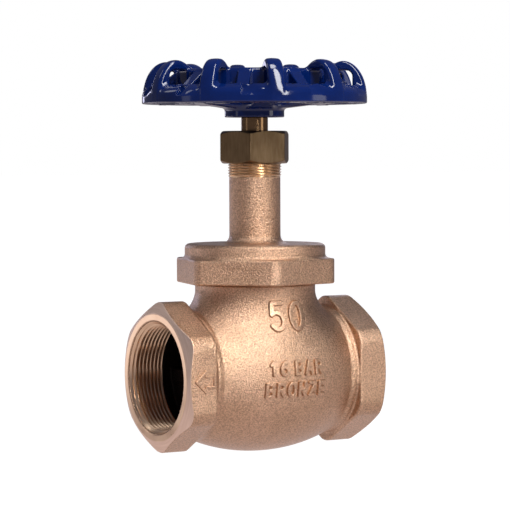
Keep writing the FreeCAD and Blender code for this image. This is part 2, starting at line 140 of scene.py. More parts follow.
# ---- packing nut, stem and wheel nut ----
PACKING_NUT_ACROSS_FLATS = 35.4
PACKING_NUT_TURN = math.radians(51.8)
PACKING_NUT_ROOF = 6.6
NUT_FACE_INSET = 0.4  # a nut's round face is this much smaller in radius than its flats
NUT_CONE_SLOPE = math.tan(math.radians(30))
STEM_R = 7.35
STUD_R = 4.9
STEM_THREAD_R = 9.0
STEM_THREAD_DEPTH = 2.0
STEM_THREAD_PITCH = 4.0
STEM_THREAD_BOTTOM_Z = 35.0
STEM_THREAD_TOP_Z = 75.0
WHEEL_NUT_ACROSS_FLATS = 17.0

# ---- the handwheel ----
WHEEL_BOTTOM_Z = 147.4
FIN_COUNT = 10
FIN_HALF_THICKNESS = 4.4
FIN_TURN = math.radians(-2.0)
FIN_CREST_R = 48.7
FIN_CREST_Z = 170.59
FIN_WIDEST_Z = 151.5
FIN_OUTWARD = 12.9
FIN_INWARD = 15.0
FIN_INWARD_POWER = 1.7
FIN_CROWN = 0.5
FIN_CROWN_FADE = 6.0  # height over which the crown comes in, centred on the band's top
FIN_EDGE = 1.6
HOLLOW_R = 54.0
HOLLOW_TOP_Z = 165.3
BAND_R = 61.6
BAND_INNER_R = 55.8
BAND_OUTER_TOP_Z = 154.0
BAND_INNER_TOP_Z = 157.4
INNER_WALL_R = 38.2
INNER_WALL_OUTER_R = 43.6
INNER_WALL_TOP_Z = 165.9
RIB_HALF_THICKNESS = 3.5
RIB_FOOT_R = 53.5
RIB_FOOT_SINK = 0.5
RIB_TOP_Z = 164.4
SPOKE_COUNT = 5
SPOKE_HALF_WIDTH = 6.0
SPOKE_HALF_THICKNESS = 2.5
HUB_R = 16.3
HUB_TOP_Z = 154.0
HUB_WEB_Z = 147.3


# ===================== distance fields ======================
def round_max(a, b, radius):
    """Intersection of two fields with a rounded outside corner."""
    corner = np.hypot(np.maximum(a + radius, 0), np.maximum(b + radius, 0))
    return np.minimum(np.maximum(a, b), -radius) + corner


def round_min(a, b, radius):
    """Union of two fields with a fillet in the inside corner."""
    return -round_max(-a, -b, radius)


def cut(solid, tool, radius=0.0):
    """The solid with the tool taken away, its new corners rounded."""
    return round_max(solid, -tool, radius)


def hexagon_field(a, b, across_flats, corner_radius, turn=0.0):
    """Hexagonal prism, from two coordinates across it, one corner at turn."""
    field = None
    for i in range(6):
        angle = turn + math.radians(30 + 60 * i)
        side = a * math.cos(angle) + b * math.sin(angle) - across_flats / 2
        field = side if field is None else round_max(field, side, corner_radius)
    return field


def folded(x, y, count, turn):
    """Radial and tangential coordinates in the nearest of count equal sectors."""
    angle = np.arctan2(y, x - STEM_X) - turn
    step = 2 * math.pi / count
    angle = angle - step * np.round(angle / step)
    radius = np.hypot(x - STEM_X, y)
    return radius * np.cos(angle), radius * np.sin(angle)


def ellipsoid_field(x, y, z, half_length, radius):
    """Nearly the distance to an ellipsoid of revolution about the run's axis."""
    dx, dy, dz = (x - STEM_X) / half_length, y / radius, z / radius
    first = np.sqrt(dx * dx + dy * dy + dz * dz) + 1e-6
    ex, ey, ez = dx / half_length, dy / radius, dz / radius
    return first * (first - 1) / (np.sqrt(ex * ex + ey * ey + ez * ez) + 1e-6)


def body_outside(x, y, z):
    """The casting's outer skin, ports and neck included."""
    from_stem = np.abs(x - STEM_X)
    from_axis = np.hypot(y, z)
    globe = ellipsoid_field(x, y, z, GLOBE_HALF_LENGTH, GLOBE_R)
    globe = round_max(globe, from_stem - (STEM_X - PORT_HEX_LENGTH + 2 * LAP), 0.5)
    neck_radius = np.hypot(x - STEM_X, y)
    neck = round_max(neck_radius - NECK_R, z - NECK_SHOULDER_Z, 0.8)
    skin = round_min(globe, np.maximum(neck, -z), NECK_FILLET)
    collar = round_max(from_axis - COLLAR_R, from_stem - COLLAR_END, 0.5)
    collar = round_max(collar, COLLAR_START - from_stem, 2.2)
    skin = round_min(skin, collar, 2.0)
    prism = hexagon_field(z, y, PORT_HEX_ACROSS_FLATS, PORT_HEX_CORNER)
    prism = round_max(prism, STEM_X - PORT_HEX_LENGTH - from_stem, 1.3)
    cone = from_stem - STEM_X + FACE_STEP + (from_axis - PORT_FACE_R) * PORT_CHAMFER_SLOPE
    prism = round_max(prism, cone / math.hypot(1, PORT_CHAMFER_SLOPE), 0.35)
    prism = round_max(prism, from_stem - STEM_X + FACE_STEP, 0.25)
    skin = round_min(skin, prism, 1.2)
    spigot = round_max(neck_radius - NECK_THREAD_R, z - body_high[2], 0.6)
    return np.minimum(skin, np.maximum(spigot, NECK_SHOULDER_Z - LAP - z))


def body_inside(x, y, z):
    """Everything hollow in the casting: ports, chamber less its bridge, and neck bore."""
    from_stem = np.abs(x - STEM_X)
    chamber = ellipsoid_field(x, y, z, GLOBE_HALF_LENGTH - GLOBE_WALL, GLOBE_R - GLOBE_WALL)
    chamber = np.maximum(chamber, from_stem - (STEM_X - PORT_DEPTH - 0.5))
    half_wall = BRIDGE_WALL / 2
    deck = np.maximum(z - DECK_TOP_Z, DECK_BOTTOM_Z - z)
    deck = np.maximum(deck, from_stem - BRIDGE_REACH)
    inlet_wall = np.abs(x - STEM_X + BRIDGE_REACH - half_wall) - half_wall
    inlet_wall = np.maximum(inlet_wall, DECK_BOTTOM_Z - z)
    outlet_wall = np.abs(x - STEM_X - BRIDGE_REACH + half_wall) - half_wall
    outlet_wall = np.maximum(outlet_wall, z - DECK_TOP_Z)
    wall = round_min(round_min(deck, inlet_wall, 2.5), outlet_wall, 2.5)
    chamber = cut(chamber, wall, 1.0)
    neck_radius = np.hypot(x - STEM_X, y)
    bore = np.maximum(neck_radius - NECK_BORE_R, DECK_TOP_Z - z)
    seat = np.maximum(neck_radius - SEAT_HOLE_R, np.abs(z) - SEAT_HOLE_HALF_DEPTH)
    port = np.maximum(np.hypot(y, z) - (PORT_SLEEVE_R - PORT_SLEEVE_LAP),
                      STEM_X - PORT_DEPTH - 0.6 - from_stem)
    return np.minimum(np.minimum(chamber, bore), np.minimum(seat, port))


def body_field(x, y, z):
    """The whole casting."""
    return cut(body_outside(x, y, z), body_inside(x, y, z), 0.3)


def bonnet_field(x, y, z):
    """Hexagonal skirt, round collar and stuffing-box neck, hollow below and bored above."""
    radius = np.hypot(x - STEM_X, y)
    skirt = hexagon_field(x - STEM_X, y, BONNET_HEX_ACROSS_FLATS, BONNET_HEX_CORNER, BONNET_HEX_TURN)
    skirt = round_max(skirt, z - BONNET_HEX_TOP_Z, 1.1)
    skirt = round_max(skirt, bonnet_low[2] - z, 1.0)
    collar = round_max(radius - BONNET_COLLAR_R, z - BONNET_COLLAR_TOP_Z, 2.4)
    collar = np.maximum(collar, BONNET_HEX_TOP_Z - 3 * LAP - z)
    outside = round_min(skirt, collar, 2.2)
    neck = np.maximum(radius - BONNET_NECK_R, BONNET_HEX_TOP_Z - z)
    neck = round_max(neck, z - BONNET_THREAD_Z - BONNET_SHOULDER_LAP, 0.4)
    outside = round_min(outside, neck, 4.6)
    skirt_bore = np.maximum(radius - NECK_THREAD_R - 0.05, z - BONNET_CEILING_Z)
    stem_bore = radius - STEM_THREAD_R - 0.1
    box = np.maximum(radius - STUFFING_BOX_R, STUFFING_BOX_BOTTOM_Z - z)
    return cut(outside, np.minimum(np.minimum(skirt_bore, stem_bore), box), 0.5)


def hex_nut_field(x, y, z, across_flats, low, high, turn, hole_r):
    """Bar-turned nut: a hexagon whose corners are coned off at both ends."""
    radius = np.hypot(x - STEM_X, y)
    nut = hexagon_field(x - STEM_X, y, across_flats, 0.35, turn)
    outside_face = (radius - across_flats / 2 + NUT_FACE_INSET) * NUT_CONE_SLOPE
    top = (z - high + outside_face) / math.hypot(1, NUT_CONE_SLOPE)
    bottom = (low - z + outside_face) / math.hypot(1, NUT_CONE_SLOPE)
    nut = round_max(round_max(nut, top, 0.25), bottom, 0.25)
    nut = round_max(round_max(nut, z - high, 0.3), low - z, 0.3)
    return cut(nut, radius - hole_r, 0.4)


def packing_nut_field(x, y, z):
    """Packing nut, hollow from below over the bonnet's thread."""
    nut = hex_nut_field(x, y, z, PACKING_NUT_ACROSS_FLATS, nut_low[2], nut_high[2],
                        PACKING_NUT_TURN, STEM_R + 0.25)
    cavity = np.maximum(np.hypot(x - STEM_X, y) - BONNET_THREAD_R - 0.15,
                        z - nut_high[2] + PACKING_NUT_ROOF)
    return cut(nut, cavity, 0.4)


def wheel_nut_field(x, y, z):
    """Plain nut on the stem's stud."""
    return hex_nut_field(x, y, z, WHEEL_NUT_ACROSS_FLATS, wheel_nut_low[2], wheel_nut_high[2],
                         0.0, STUD_R)


def fin_profile(from_axis, z):
    """A fin's upright outline: an elliptical outer side, a flatter inner side, a straight foot."""
    out = from_axis - FIN_CREST_R
    half = np.where(out > 0, FIN_OUTWARD, FIN_INWARD)
    power = np.where(out > 0, 2.0, FIN_INWARD_POWER)
    rise = FIN_CREST_Z - FIN_WIDEST_Z
    level, upright = np.abs(out) / half + 1e-6, np.maximum(z - FIN_WIDEST_Z, 0) / rise + 1e-6
    share = (level ** power + upright ** power) ** (1 / power)
    slope = np.hypot(level ** (power - 1) / half, upright ** (power - 1) / rise)
    return (share - 1) * share ** (power - 1) / slope


def wheel_rim(radius, x, y, z):
    """Low outer band and the fins that stand on it, flush with its face, as one rounded form."""
    along, across = folded(x, y, FIN_COUNT, FIN_TURN)
    side = np.abs(across) - FIN_HALF_THICKNESS
    crown = FIN_CROWN * np.minimum(across / FIN_HALF_THICKNESS, 1) ** 2
    above_band = z - BAND_OUTER_TOP_Z
    crown = crown * np.clip((above_band + FIN_CROWN_FADE / 2) / FIN_CROWN_FADE, 0, 1)
    slope = (BAND_INNER_TOP_Z - BAND_OUTER_TOP_Z) / (BAND_R - BAND_INNER_R)
    band_top = (above_band - (BAND_R - radius) * slope) / math.hypot(1, slope)
    band = round_max(round_min(side, band_top, 2.4), fin_profile(radius, z) + crown, FIN_EDGE)
    band = round_max(band, BAND_INNER_R - radius, 0.8)
    fin = round_max(side, fin_profile(along, z) + crown, FIN_EDGE)
    fin = np.maximum(fin, INNER_WALL_R + LAP - along)
    painted_shade = round_max(along - HOLLOW_R, z - HOLLOW_TOP_Z, 3.6)
    painted_shade = round_max(painted_shade, INNER_WALL_OUTER_R - along, 2.0)
    fin = cut(fin, painted_shade, 1.1)
    return round_max(np.minimum(band, fin), WHEEL_BOTTOM_Z - z, 0.6)


def wheel_field(x, y, z):
    """Handwheel: hub, dished spokes, inner wall, finned rim and sloping ribs between them."""
    radius = np.hypot(x - STEM_X, y)
    above_bottom = WHEEL_BOTTOM_Z - z
    rim = wheel_rim(radius, x, y, z)
    wall = round_max(radius - INNER_WALL_OUTER_R, z - INNER_WALL_TOP_Z, 2.4)
    wall = round_max(round_max(wall, INNER_WALL_R - radius, 1.0), above_bottom, 0.8)
    along, across = folded(x, y, FIN_COUNT, FIN_TURN + math.pi / FIN_COUNT)
    fall = (RIB_TOP_Z - BAND_INNER_TOP_Z + RIB_FOOT_SINK) / (RIB_FOOT_R - INNER_WALL_OUTER_R)
    rib_top = (z - RIB_TOP_Z + (along - INNER_WALL_OUTER_R) * fall) / math.hypot(1, fall)
    rib_top = np.minimum(rib_top, np.maximum(z - BAND_INNER_TOP_Z + 0.6, along - BAND_INNER_R - LAP))
    rib = round_max(rib_top, np.abs(across) - RIB_HALF_THICKNESS, 0.8)
    rib = np.maximum(rib, along - BAND_INNER_R - LAP)
    rib = np.maximum(np.maximum(rib, INNER_WALL_OUTER_R - LAP - along), above_bottom)
    along, across = folded(x, y, SPOKE_COUNT, FIN_TURN)
    share = np.clip((radius - HUB_R) / (INNER_WALL_R - HUB_R), 0, 1)
    middle_z = HUB_WEB_Z + share * (WHEEL_BOTTOM_Z + SPOKE_HALF_THICKNESS - HUB_WEB_Z)
    spoke = round_max(np.abs(across) - SPOKE_HALF_WIDTH, radius - INNER_WALL_R - LAP, 0.5)
    hub = radius - HUB_R
    web = round_min(round_min(spoke, hub, 7.0), INNER_WALL_R - radius, 7.0)
    web = round_max(web, np.abs(z - middle_z) - SPOKE_HALF_THICKNESS, 1.6)
    web = np.maximum(web, radius - INNER_WALL_R - 2 * LAP)
    hub = round_max(round_max(hub, z - HUB_TOP_Z, 1.2), wheel_low[2] - z, 0.5)
    wheel = round_min(round_min(rim, wall, 1.4), rib, 1.0)
    wheel = round_min(round_min(wheel, web, 1.0), hub, 1.6)
    return cut(wheel, radius - STEM_R - 0.2, 0.4)


# ====================== mesh building =======================
def net(field, low, high, cell):
    """Quads over the field's zero surface, one vertex in each grid cell that it crosses."""
    low = np.array(low, float)
    count = np.ceil((np.array(high, float) - low) / cell).astype(int) + 1
    axes = [low[i] + cell * np.arange(count[i]) for i in range(3)]
    plane_y, plane_z = np.meshgrid(axes[1], axes[2], indexing="ij")
    values = np.stack([field(np.full_like(plane_y, x), plane_y, plane_z) for x in axes[0]])
    total = np.zeros((values.size, 3))
    hits = np.zeros(values.size)
    quads = []
    for axis in range(3):
        first = np.take(values, range(count[axis] - 1), axis)
        second = np.take(values, range(1, count[axis]), axis)
        # where the grid's edges along this axis cross the surface
        index = np.argwhere((first < 0) != (second < 0))
        a, b = first[tuple(index.T)], second[tuple(index.T)]
        point = low + cell * index
        point[:, axis] += cell * a / (a - b)
        across, beside = (axis + 1) % 3, (axis + 2) % 3
        # the four cells round such an edge own the corners of its quad
        around = []
        for step_a, step_b in ((0, 0), (-1, 0), (-1, -1), (0, -1)):
            owner = index.copy()
            owner[:, across] += step_a
            owner[:, beside] += step_b
            flat = np.ravel_multi_index(tuple(owner.T), values.shape)
            for i in range(3):
                total[:, i] += np.bincount(flat, point[:, i], values.size)
            hits += np.bincount(flat, minlength=values.size)
            around.append(flat)
        quad = np.stack(around, 1)
        quad[a >= 0] = quad[a >= 0][:, ::-1]
        quads.append(quad)
    used = np.flatnonzero(hits)
    renumber = np.zeros(values.size, int)
    renumber[used] = np.arange(len(used))
    return total[used] / hits[used][:, None], renumber[np.concatenate(quads)]


def slope_of(field, points, step=0.05):
    """Gradient of a field at points, by differences."""
    slope = np.empty_like(points)
    for i in range(3):
        shift = np.zeros(3)
        shift[i] = step
        slope[:, i] = (field(*(points + shift).T) - field(*(points - shift).T)) / (2 * step)
    return slope


def settle(field, points, reach, rounds=4):
    """Moves points onto the field's zero surface."""
    for _ in range(rounds):
        slope = slope_of(field, points)
        length = np.maximum((slope ** 2).sum(1), 0.05)
        move = np.clip(field(*points.T), -reach, reach) / length
        points = points - slope * move[:, None]
    return points


def mesh_object(name, points_mm, faces):
    """Mesh object from vertices in millimetres and faces of one size."""
    mesh = bpy.data.meshes.new(name)
    faces = np.asarray(faces)
    sides = faces.shape[1]
    mesh.vertices.add(len(points_mm))
    mesh.vertices.foreach_set("co", (np.asarray(points_mm) * MM).ravel())
    mesh.loops.add(faces.size)
    mesh.loops.foreach_set("vertex_index", faces.ravel())
    mesh.polygons.add(len(faces))
    mesh.polygons.foreach_set("loop_start", np.arange(0, faces.size, sides))
    mesh.polygons.foreach_set("use_smooth", np.ones(len(faces), bool))
    mesh.update(calc_edges=True)
    mesh.validate()
    piece = bpy.data.objects.new(name, mesh)
    bpy.context.scene.collection.objects.link(piece)
    return piece


def thin(piece, keep):
    """Collapses edges of a piece until a share keep of its faces is left."""
    modifier = piece.modifiers.new("thin", "DECIMATE")
    modifier.ratio = keep
    graph = bpy.context.evaluated_depsgraph_get()
    mesh = bpy.data.meshes.new_from_object(piece.evaluated_get(graph))
    piece.modifiers.clear()
    piece.data = mesh


def cast(name, field, low, high, cell, most_triangles):
    """Piece whose surface is the zero surface of a field, shaded by the field's own slope."""
    coarse = 1.0
    margin = 2 * cell * coarse
    points, quads = net(field, np.array(low) - margin, np.array(high) + margin, cell * coarse)
    points = settle(field, points, cell / 2)
    piece = mesh_object(name, points, quads)
    triangles = 2 * len(quads)
    if triangles > most_triangles:
        thin(piece, most_triangles / triangles)
        mesh = piece.data
        flat = np.empty(3 * len(mesh.vertices))
        mesh.vertices.foreach_get("co", flat)
        points = settle(field, flat.reshape(-1, 3) / MM, cell / 2, 2)
        mesh.vertices.foreach_set("co", (points * MM).ravel())
        mesh.update()
    mesh = piece.data
    mesh.polygons.foreach_set("use_smooth", np.ones(len(mesh.polygons), bool))
    slope = slope_of(field, points)
    slope /= np.maximum(np.linalg.norm(slope, axis=1), 1e-6)[:, None]
    mesh.normals_split_custom_set_from_vertices(slope)
    return piece


SHARP_EDGE = math.radians(30.0)


def turned(name, stations, segments, centre=(0.0, 0.0, 0.0), along="z"):
    """Closed ring turned about an axis. A station is (distance along, radius or a function of angle)."""
    angle = np.linspace(0, 2 * math.pi, segments, endpoint=False)
    rows = []
    for height, radius in stations:
        spread = radius(angle) if callable(radius) else np.full(segments, float(radius))
        level = np.full(segments, float(height))
        if along == "z":
            rows.append(np.stack([spread * np.cos(angle), spread * np.sin(angle), level], 1))
        else:
            rows.append(np.stack([level, spread * np.cos(angle), spread * np.sin(angle)], 1))
    points = np.concatenate(rows) + np.array(centre)
    faces = []
    column = np.arange(segments)
    following = (column + 1) % segments
    for row in range(len(stations)):
        here, there = row * segments, (row + 1) % len(stations) * segments
        faces.append(np.stack([here + column, here + following, there + following, there + column], 1))
    piece = mesh_object(name, points, np.concatenate(faces))
    piece.data.set_sharp_from_angle(angle=SHARP_EDGE)
    return piece


THREAD_STEPS = 10  # stations to each turn of a thread
PORT_THREAD_STEPS = 12
THREAD_FLAT = 0.12  # share of the wave that is cut flat at root and crest


def thread_wave(phase):
    """Height of a V thread with flat root and crest, from 0 to 1, once a turn."""
    triangle = np.abs(2 * (phase % 1.0) - 1)
    return np.clip((triangle - THREAD_FLAT) / (1 - 2 * THREAD_FLAT), 0, 1)


def port_thread(name, face_x, inward):
    """Machined face, mouth chamfer and helical pipe thread of one port, as one sleeve."""
    back, chamfer, edge = 0.9, 0.25, 0.1
    stations = [(back, PORT_SLEEVE_R), (back, PORT_FACE_R - chamfer), (chamfer, PORT_FACE_R - 0.2),
                (0.0, PORT_FACE_R - 0.45), (0.0, PORT_MOUTH_R + 0.15), (edge, PORT_MOUTH_R)]
    major_r = PORT_MINOR_R + PIPE_THREAD_DEPTH
    depth = 0.4
    while depth < PORT_DEPTH:
        mouth_r = PORT_MOUTH_R + edge - depth

        def radius(angle, depth=depth, mouth_r=mouth_r):
            wave = thread_wave(depth / PIPE_PITCH - inward * angle / (2 * math.pi))
            return np.maximum(major_r - PIPE_THREAD_DEPTH * wave, mouth_r)

        stations.append((depth, radius))
        depth += PIPE_PITCH / PORT_THREAD_STEPS
    stations += [(PORT_DEPTH, PORT_MINOR_R), (PORT_DEPTH, PORT_SLEEVE_R)]
    placed = [(face_x + inward * far, radius) for far, radius in stations]
    if inward > 0:
        placed = placed[::-1]
    return turned(name, placed, 160, along="x")


def outside_thread(name, low, high, crest_r, depth, pitch, inner_r):
    """Male thread about the stem axis, on a tube of inner_r, fading out over a turn at each end."""
    stations = [(low, inner_r), (low, crest_r - depth)]
    step = pitch / THREAD_STEPS
    height = low + step
    while height < high - step:
        fade = min(1.0, (height - low) / pitch, (high - height) / pitch)

        def radius(angle, height=height, fade=fade):
            wave = thread_wave(height / pitch - angle / (2 * math.pi))
            return crest_r - depth + depth * np.minimum(wave, fade)

        stations.append((height, radius))
        height += step
    stations += [(high, crest_r - depth), (high, inner_r)]
    return turned(name, stations[::-1], 96, (STEM_X, 0, 0))


# ======================= raised marks =======================
def curve(cx, cy, rx, ry, start_deg, end_deg, steps=14):
    """Points along part of an ellipse."""
    angles = np.radians(np.linspace(start_deg, end_deg, steps))
    return [(cx + rx * math.cos(a), cy + ry * math.sin(a)) for a in angles]


CHARACTER_WIDTH = 0.6  # this and BLANK_WIDTH are shares of a character's height
BLANK_WIDTH = 0.35
OVAL = curve(0.3, 0.5, 0.3, 0.5, 0, 360, 28)
STROKES = {
    "0": [OVAL],
    "O": [OVAL],
    "1": [[(0.12, 0.78), (0.34, 1.0), (0.34, 0.0)]],
    "5": [[(0.54, 1.0), (0.1, 1.0), (0.06, 0.56)] + curve(0.27, 0.32, 0.31, 0.32, 125, -145)],
    "6": [curve(0.3, 0.3, 0.28, 0.3, 0, 360, 24), curve(0.62, 0.36, 0.6, 0.64, 100, 178)],
    "B": [[(0.04, 0.0), (0.04, 1.0), (0.3, 1.0)] + curve(0.3, 0.76, 0.24, 0.24, 90, -90) + [(0.04, 0.52)],
          [(0.3, 0.52)] + curve(0.3, 0.26, 0.28, 0.26, 90, -90) + [(0.04, 0.0)]],
    "A": [[(0.0, 0.0), (0.3, 1.0), (0.6, 0.0)], [(0.12, 0.34), (0.48, 0.34)]],
    "R": [[(0.04, 0.0), (0.04, 1.0), (0.3, 1.0)] + curve(0.3, 0.75, 0.26, 0.25, 90, -90) + [(0.04, 0.5)],
          [(0.28, 0.5), (0.58, 0.0)]],
    "N": [[(0.04, 0.0), (0.04, 1.0), (0.56, 0.0), (0.56, 1.0)]],
    "Z": [[(0.04, 1.0), (0.56, 1.0), (0.04, 0.0), (0.56, 0.0)]],
    "E": [[(0.56, 1.0), (0.04, 1.0), (0.04, 0.0), (0.56, 0.0)], [(0.04, 0.52), (0.46, 0.52)]],
}


def distance_to_strokes(s, t, strokes):
    """Distance from points to the nearest piece of any stroke."""
    nearest = np.full(s.shape, 1e9)
    for stroke in strokes:
        for (ax, ay), (bx, by) in zip(stroke[:-1], stroke[1:]):
            dx, dy = bx - ax, by - ay
            share = ((s - ax) * dx + (t - ay) * dy) / max(dx * dx + dy * dy, 1e-9)
            share = np.clip(share, 0, 1)
            nearest = np.minimum(nearest, np.hypot(s - ax - share * dx, t - ay - share * dy))
    return nearest


MARK_SINK = 0.9  # how far a mark's bottom sheet lies under the skin
MARK_EDGE_SINK = 0.12  # how far its top sheet's edge does


def on_front(s, t):
    """Points of the body's skin on its marked side; s runs to the reader's right, t upwards."""
    x = STEM_X - s
    near, far = np.full(s.shape, 15.0), np.full(s.shape, 60.0)
    halvings = 26
    for _ in range(halvings):
        middle = (near + far) / 2
        inside = body_outside(x, middle, t) < 0
        near = np.where(inside, middle, near)
        far = np.where(inside, far, middle)
    return np.stack([x, near, t], -1)


def raised(strokes, height, half_stroke, bevel, cell):
    """Raised figure that follows the skin: a top sheet and a sunk bottom sheet, closed at the rim."""
    every = np.array([p for stroke in strokes for p in stroke])
    pad = half_stroke + bevel + 3 * cell
    low, high = every.min(0) - pad, every.max(0) + pad
    s, t = np.meshgrid(np.arange(low[0], high[0], cell), np.arange(low[1], high[1], cell), indexing="ij")
    away = distance_to_strokes(s, t, strokes) - half_stroke
    lift = height * (1 - np.clip(away / bevel, 0, 1) ** 2) - MARK_EDGE_SINK
    keep = away < bevel + cell
    skin = on_front(s, t)
    flat = skin.reshape(-1, 3)
    slope = slope_of(body_outside, flat)
    slope /= np.linalg.norm(slope, axis=1)[:, None]
    top = flat + slope * lift.reshape(-1, 1)
    bottom = flat - slope * MARK_SINK
    cells = keep[:-1, :-1] & keep[1:, :-1] & keep[1:, 1:] & keep[:-1, 1:]
    i, j = np.nonzero(cells)
    wide = s.shape[1]
    corner = np.stack([i * wide + j, i * wide + j + 1, (i + 1) * wide + j + 1, (i + 1) * wide + j], 1)
    faces = [corner, corner[:, ::-1] + s.size]
    # edges used once are the rim; a dict keeps their order
    edges = {}
    for quad in corner:
        for a, b in zip(quad, np.roll(quad, -1)):
            if (b, a) in edges:
                del edges[(b, a)]
            else:
                edges[(a, b)] = True
    rim = np.array(list(edges))
    faces.append(np.stack([rim[:, 1], rim[:, 0], rim[:, 0] + s.size, rim[:, 1] + s.size], 1))
    faces = np.concatenate(faces)
    used, faces = np.unique(faces, return_inverse=True)
    return np.concatenate([top, bottom])[used], faces.reshape(-1, 4)


def word(text, middle, height, wide, gap):
    """Strokes of a line of characters centred on middle, in skin coordinates.

    wide stretches the characters sideways. gap, a share of their height, keeps them apart.
    """
    advance = (CHARACTER_WIDTH * wide + gap) * height
    blank = BLANK_WIDTH * height
    length = sum(blank if c == " " else advance for c in text) - gap * height
    cursor = middle[0] - length / 2
    lines = []
    for character in text:
        if character == " ":
            cursor += blank
            continue
        strokes = [[(cursor + px * height * wide, middle[1] + (py - 0.5) * height) for px, py in stroke]
                   for stroke in STROKES[character]]
        lines.append(strokes)
        cursor += advance
    return lines


def raised_marks():
    """Generic size figure and rating lines, one raised figure for each character."""
    size_line = word("50", (-1.0, 32.8), 14.0, 0.86, 0.32)
    pressure_line = word("16 BAR", (0, 5.4), 6.6, 1.0, 0.384)
    alloy_line = word("BRONZE", (0, -6.0), 6.6, 1.0, 0.384)
    bevel, cell = 0.5, 0.2
    points, faces, start = [], [], 0
    for characters, half_stroke, height in ((size_line, 1.0, 1.3), (pressure_line, 0.6, 1.5),
                                            (alloy_line, 0.6, 1.5)):
        for strokes in characters:
            new_points, new_faces = raised(strokes, height, half_stroke, bevel, cell)
            points.append(new_points)
            faces.append(new_faces + start)
            start += len(new_points)
    return mesh_object("raised_marks", np.concatenate(points), np.concatenate(faces))


def flow_arrow():
    """Raised arrow on the outlet's front flat, pointing out of the outlet."""
    tip, head, tail, wide, narrow = -58.3, -52.6, -47.4, 5.6, 2.9
    outline = [(tip, 0), (head, wide), (head, narrow), (tail, narrow), (tail, -narrow),
               (head, -narrow), (head, -wide), (tip, 0)]
    height, half_stroke, bevel, cell = 0.9, 0.5, 0.4, 0.18
    points, faces = raised([outline], height, half_stroke, bevel, cell)
    return mesh_object("flow_arrow", points, faces)


# ======================== materials =========================
def new_material(name):
    """Material with a Principled shader: (material, its node tree, the shader)."""
    material = bpy.data.materials.new(name)
    material.use_nodes = True
    return material, material.node_tree, material.node_tree.nodes["Principled BSDF"]


def noise(tree, scale, detail=3.0, rough=0.55, stretch=None):
    """Noise in the object's own coordinates, which are metres, so scale counts its waves in a metre."""
    coordinates = tree.nodes.new("ShaderNodeTexCoord")
    texture = tree.nodes.new("ShaderNodeTexNoise")
    texture.inputs["Scale"].default_value = scale
    texture.inputs["Detail"].default_value = detail
    texture.inputs["Roughness"].default_value = rough
    source = coordinates.outputs["Object"]
    if stretch:
        mapping = tree.nodes.new("ShaderNodeMapping")
        mapping.inputs["Scale"].default_value = stretch
        tree.links.new(source, mapping.inputs["Vector"])
        source = mapping.outputs["Vector"]
    tree.links.new(source, texture.inputs["Vector"])
    return texture.outputs["Fac"]


def ramp(tree, source, stops):
    """Colour ramp over (position, colour) stops."""
    node = tree.nodes.new("ShaderNodeValToRGB")
    elements = node.color_ramp.elements
    while len(elements) < len(stops):
        elements.new(0.5)
    for element, (position, colour) in zip(elements, stops):
        element.position = position
        element.color = (*colour, 1.0)
    tree.links.new(source, node.inputs["Fac"])
    return node.outputs["Color"]


def mixed(tree, share, first, second, blend="MIX"):
    """Colour mix; share is a socket or number, and first and second are sockets or plain colours."""
    node = tree.nodes.new("ShaderNodeMix")
    node.data_type = "RGBA"
    node.blend_type = blend
    for value, socket in ((share, node.inputs["Factor"]), (first, node.inputs["A"]),
                          (second, node.inputs["B"])):
        if isinstance(value, tuple):
            socket.default_value = (*value, 1.0)
        elif isinstance(value, float):
            socket.default_value = value
        else:
            tree.links.new(value, socket)
    return node.outputs["Result"]


def maths(tree, operation, *values):
    """One Math node; its values are sockets or numbers."""
    node = tree.nodes.new("ShaderNodeMath")
    node.operation = operation
    for value, socket in zip(values, node.inputs):
        if isinstance(value, (int, float)):
            socket.default_value = value
        else:
            tree.links.new(value, socket)
    return node.outputs[0]


def bump(tree, height, distance, strength, under=None):
    """Bump of a greyscale height, in metres, over the bump under it if there is one."""
    node = tree.nodes.new("ShaderNodeBump")
    node.inputs["Strength"].default_value = strength
    node.inputs["Distance"].default_value = distance
    tree.links.new(height, node.inputs["Height"])
    if under is not None:
        tree.links.new(under, node.inputs["Normal"])
    return node.outputs["Normal"]


def surface(tree, shader, colour, rough, normal):
    """Gives the shader its colour, roughness and normal."""
    for name, value in (("Base Color", colour), ("Roughness", rough), ("Normal", normal)):
        tree.links.new(value, shader.inputs[name])


def grey(value):
    """A grey as a colour."""
    return (value, value, value)


def between(tree, source, low, high):
    """Greyscale that runs from low to high over a noise's middle range."""
    return ramp(tree, source, [(0.3, grey(low)), (0.7, grey(high))])


GRAIN_DEPTH = 0.00055
MARKS_GRAIN_DEPTH = 0.0002
COAT = 0.6  # a clear coat stands for the sheen of blasted bronze
TURNED_DEPTH = 0.35  # the turned look starts this far under the cone, in millimetres
PAINTED_SHADE_SHARE = 0.955  # share of the globe's radius inside which the casting is painted near black as shade
PAINTED_SHADE_START = 18.5  # how far in from the port faces the painted shade starts, in millimetres


def cast_skin(tree):
    """Sockets of a shot-blasted sand casting: colour, roughness and grain."""
    blotch = noise(tree, 45.0, 4.0)
    grain = noise(tree, 1150.0, 3.0, 0.6)
    tone = ramp(tree, blotch, [(0.3, (0.72, 0.448, 0.275)), (0.7, (0.82, 0.52, 0.338))])
    speck = ramp(tree, grain, [(0.34, (0.52, 0.505, 0.50)), (0.64, (1.0, 1.0, 1.0))])
    colour = mixed(tree, 1.0, tone, speck, "MULTIPLY")
    return colour, between(tree, blotch, 0.34, 0.41), grain


def finish_cast(tree, shader, colour, rough, normal):
    """What every cast bronze shader has in common."""
    surface(tree, shader, colour, rough, normal)
    tree.links.new(normal, shader.inputs["Coat Normal"])
    shader.inputs["Metallic"].default_value = 1.0
    shader.inputs["Coat Roughness"].default_value = 0.2


